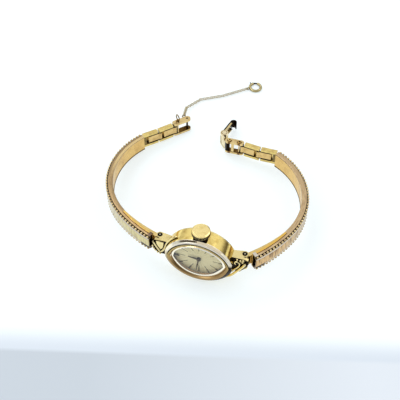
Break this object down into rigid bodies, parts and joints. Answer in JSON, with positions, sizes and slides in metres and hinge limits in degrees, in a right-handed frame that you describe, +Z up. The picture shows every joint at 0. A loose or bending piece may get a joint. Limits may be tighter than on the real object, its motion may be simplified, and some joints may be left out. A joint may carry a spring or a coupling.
{
  "type": "cocktail wristwatch",
  "caption": "Small oval cocktail watch on its edge with a crown, domed crystal, ribbon lugs, rigid curved bands, hinged links, hook clasp and safety chain.",
  "frame": {"origin": "centre of the bounding box in X and Y, on the table in Z", "axes": "+Z up, out of the crown as the watch lies on its edge; -Y towards the front of the dial; +X to the right seen from the dial side"},
  "size_m": [0.0572, 0.0768, 0.0187],
  "materials": {
    "polished_gold": "polished yellow gold plate",
    "pale_gold": "polished pale gold plate",
    "engraved_gold": "engraved yellow gold plate",
    "rose_gold": "satin rose gold plate",
    "dark_gold": "worn dark gold plate",
    "dial_silver": "silvered lacquered dial",
    "crystal": "clear domed crystal",
    "movement_brass": "brushed movement brass",
    "steel": "polished steel"
  },
  "bodies": {
    "case": {"case_middle": "polished_gold", "case_back": "pale_gold", "bezel": "polished_gold", "crystal": "crystal", "dial": "dial_silver", "hour_batons": "pale_gold", "left_lug": "pale_gold", "right_lug": "pale_gold", "left_ribbon": "polished_gold", "right_ribbon": "polished_gold", "heart_plate": "pale_gold", "scroll": "polished_gold", "left_lug_beads": "polished_gold", "right_lug_beads": "polished_gold", "lug_bars": "steel", "movement_plate": "movement_brass", "barrel_bridge": "movement_brass", "train_bridge": "movement_brass", "balance_cock": "movement_brass", "pendant_tube": "polished_gold"},
    "balance": {"balance_wheel": "steel"},
    "barrel": {"mainspring_barrel": "steel"},
    "centre_train": {"centre_wheel": "movement_brass"},
    "third_train": {"third_wheel": "movement_brass"},
    "minute": {"minute_hand": "dark_gold"},
    "hour": {"hour_hand": "dark_gold"},
    "stem": {"winding_stem": "steel", "crown": "pale_gold"},
    "left_band": {"left_shell": "engraved_gold", "left_liner": "rose_gold", "left_beading": "polished_gold", "left_leaf": "polished_gold", "left_end_tube": "polished_gold"},
    "right_band": {"right_shell": "engraved_gold", "right_liner": "rose_gold", "right_beading": "polished_gold", "right_leaf": "polished_gold", "right_end_tube": "polished_gold"},
    "left_first_link": {"left_link_1": "polished_gold", "left_clip_1": "rose_gold"},
    "left_second_link": {"left_link_2": "polished_gold", "left_clip_2": "rose_gold"},
    "receiver_frame": {"receiver": "polished_gold", "catch_bar": "dark_gold", "receiver_eyes": "polished_gold"},
    "right_first_link": {"right_link_1": "polished_gold", "right_clip_1": "rose_gold"},
    "right_second_link": {"right_link_2": "polished_gold", "right_clip_2": "rose_gold"},
    "clasp_base": {"clasp_frame": "polished_gold", "clasp_eyes": "polished_gold"},
    "cover": {"clasp_cover": "polished_gold"},
    "hook": {"clasp_hook": "dark_gold"},
    "chain_a": {"chain_1": "polished_gold"},
    "chain_b": {"chain_2": "polished_gold"},
    "chain_c": {"chain_3": "polished_gold"},
    "chain_d": {"chain_4": "polished_gold"},
    "catch_ring": {"spring_ring": "polished_gold"},
    "trigger": {"ring_trigger": "dark_gold"}
  },
  "joints": [
    {"name": "minute_turn", "type": "hinge", "parent": "case", "child": "minute", "pos_m": [-0.00168, -0.03344, 0.00851], "axis": [0.284, 0.9521, -0.1132], "continuous": true},
    {"name": "hour_turn", "type": "hinge", "parent": "case", "child": "hour", "pos_m": [-0.00168, -0.03344, 0.00851], "axis": [0.284, 0.9521, -0.1132], "continuous": true},
    {"name": "centre_wheel_turn", "type": "hinge", "parent": "case", "child": "centre_train", "pos_m": [-0.00148, -0.03349, 0.00852], "axis": [0.284, 0.9521, -0.1132], "continuous": true},
    {"name": "third_wheel_turn", "type": "hinge", "parent": "case", "child": "third_train", "pos_m": [0.00082, -0.03397, 0.01029], "axis": [0.284, 0.9521, -0.1132], "continuous": true},
    {"name": "barrel_turn", "type": "hinge", "parent": "case", "child": "barrel", "pos_m": [-0.00465, -0.03237, 0.01], "axis": [0.284, 0.9521, -0.1132], "continuous": true},
    {"name": "balance_swing", "type": "hinge", "parent": "case", "child": "balance", "pos_m": [0.00226, -0.03478, 0.00706], "axis": [0.284, 0.9521, -0.1132], "range_deg": [-135, 135]},
    {"name": "stem_pull", "type": "slide", "parent": "case", "child": "stem", "axis": [0, 0.1181, 0.993], "range_m": [0, 0.0007]},
    {"name": "left_lug_hinge", "type": "hinge", "parent": "case", "child": "left_band", "pos_m": [-0.01228, -0.02876, 0.00795], "axis": [0, 0.1181, 0.993], "range_deg": [-12, 25]},
    {"name": "left_link_hinge_1", "type": "hinge", "parent": "left_band", "child": "left_first_link", "pos_m": [-0.01851, 0.01053, 0.00328], "axis": [0, 0.1181, 0.993], "range_deg": [-25, 40]},
    {"name": "left_link_hinge_2", "type": "hinge", "parent": "left_first_link", "child": "left_second_link", "pos_m": [-0.01392, 0.01296, 0.00299], "axis": [0, 0.1181, 0.993], "range_deg": [-30, 35]},
    {"name": "receiver_hinge", "type": "hinge", "parent": "left_second_link", "child": "receiver_frame", "pos_m": [-0.00946, 0.01562, 0.00268], "axis": [0, 0.1181, 0.993], "range_deg": [-35, 30]},
    {"name": "right_lug_hinge", "type": "hinge", "parent": "case", "child": "right_band", "pos_m": [0.00978, -0.03525, 0.00873], "axis": [0, 0.1181, 0.993], "range_deg": [-25, 18]},
    {"name": "right_link_hinge_1", "type": "hinge", "parent": "right_band", "child": "right_first_link", "pos_m": [0.02045, 0.00309, 0.00417], "axis": [0, 0.1181, 0.993], "range_deg": [-50, 20]},
    {"name": "right_link_hinge_2", "type": "hinge", "parent": "right_first_link", "child": "right_second_link", "pos_m": [0.0155, 0.00469, 0.00398], "axis": [0, 0.1181, 0.993], "range_deg": [-25, 45]},
    {"name": "clasp_base_hinge", "type": "hinge", "parent": "right_second_link", "child": "clasp_base", "pos_m": [0.01081, 0.00691, 0.00371], "axis": [0, 0.1181, 0.993], "range_deg": [-35, 35]},
    {"name": "cover_hinge", "type": "hinge", "parent": "clasp_base", "child": "cover", "pos_m": [0.0066, 0.00819, 0.00356], "axis": [0, 0.1181, 0.993], "range_deg": [-45, 60]},
    {"name": "hook_hinge", "type": "hinge", "parent": "cover", "child": "hook", "pos_m": [0.00562, 0.01173, 0.00314], "axis": [0, 0.1181, 0.993], "range_deg": [-35, 90]},
    {"name": "chain_swing_1", "type": "hinge", "parent": "receiver_frame", "child": "chain_a", "pos_m": [-0.00677, 0.01976, 0.00407], "axis": [0, 0.1181, 0.993], "range_deg": [-30, 30]},
    {"name": "chain_swing_2", "type": "hinge", "parent": "chain_a", "child": "chain_b", "pos_m": [-0.00607, 0.02642, 0.00112], "axis": [0, 0, 1], "range_deg": [-40, 40]},
    {"name": "chain_swing_3", "type": "hinge", "parent": "chain_b", "child": "chain_c", "pos_m": [-0.00155, 0.03045, 0.00061], "axis": [0, 0, 1], "range_deg": [-45, 50]},
    {"name": "chain_swing_4", "type": "hinge", "parent": "chain_c", "child": "chain_d", "pos_m": [0.00559, 0.0321, 0.00058], "axis": [0, 0, 1], "range_deg": [-40, 50]},
    {"name": "ring_swing", "type": "hinge", "parent": "chain_d", "child": "catch_ring", "pos_m": [0.0135, 0.0353, 0.00058], "axis": [0, 0, 1], "range_deg": [-20, 60]},
    {"name": "trigger_slide", "type": "hinge", "parent": "catch_ring", "child": "trigger", "pos_m": [0.01646, 0.03614, 0.00045], "axis": [0, 0, 1], "range_deg": [0, 38], "stiffness_Nm_per_rad": 0.003, "springref_deg": -8.59}
  ],
  "couplings": [
    {"joint": "hour_turn", "follows": "minute_turn", "ratio": 0.083333},
    {"joint": "centre_wheel_turn", "follows": "minute_turn", "ratio": 1},
    {"joint": "third_wheel_turn", "follows": "minute_turn", "ratio": -8},
    {"joint": "barrel_turn", "follows": "minute_turn", "ratio": -0.14286}
  ]
}
